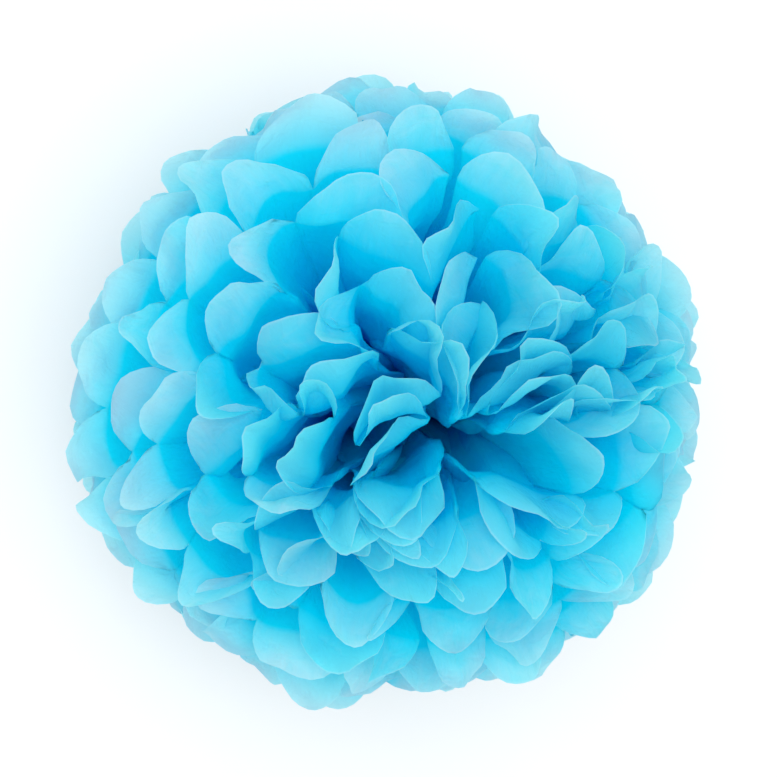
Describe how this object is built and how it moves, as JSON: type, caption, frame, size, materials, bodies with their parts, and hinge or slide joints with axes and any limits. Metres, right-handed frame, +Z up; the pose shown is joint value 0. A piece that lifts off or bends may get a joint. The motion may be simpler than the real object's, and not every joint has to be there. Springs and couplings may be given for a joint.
{
  "type": "tissue paper pom pom",
  "caption": "Round ball of pleated tissue sheets tied at the middle with wire and fanned into layered round-ended petals, to hang or to rest on a table as a decoration.",
  "frame": {"origin": "bottom centre, on the surface that the pom pom rests on, under the tie", "axes": "+Z up through the hollow at the middle of the flower, +X across the fold lines' two halves, +Y along the wire's twisted ends"},
  "size_m": [0.2474, 0.2436, 0.2263],
  "materials": {
    "tissue_paper": "matte coloured tissue paper, slightly translucent, paler at the petals' edges",
    "wire": "plain soft steel wire"
  },
  "bodies": {
    "root": {"sheet_01": "tissue_paper", "sheet_02": "tissue_paper", "sheet_03": "tissue_paper", "sheet_04": "tissue_paper", "sheet_05": "tissue_paper", "sheet_06": "tissue_paper", "sheet_07": "tissue_paper", "sheet_08": "tissue_paper", "sheet_09": "tissue_paper", "sheet_10": "tissue_paper", "sheet_11": "tissue_paper", "sheet_12": "tissue_paper", "sheet_13": "tissue_paper", "sheet_14": "tissue_paper", "sheet_15": "tissue_paper", "sheet_16": "tissue_paper", "binding_wire": "wire"}
  },
  "joints": []
}
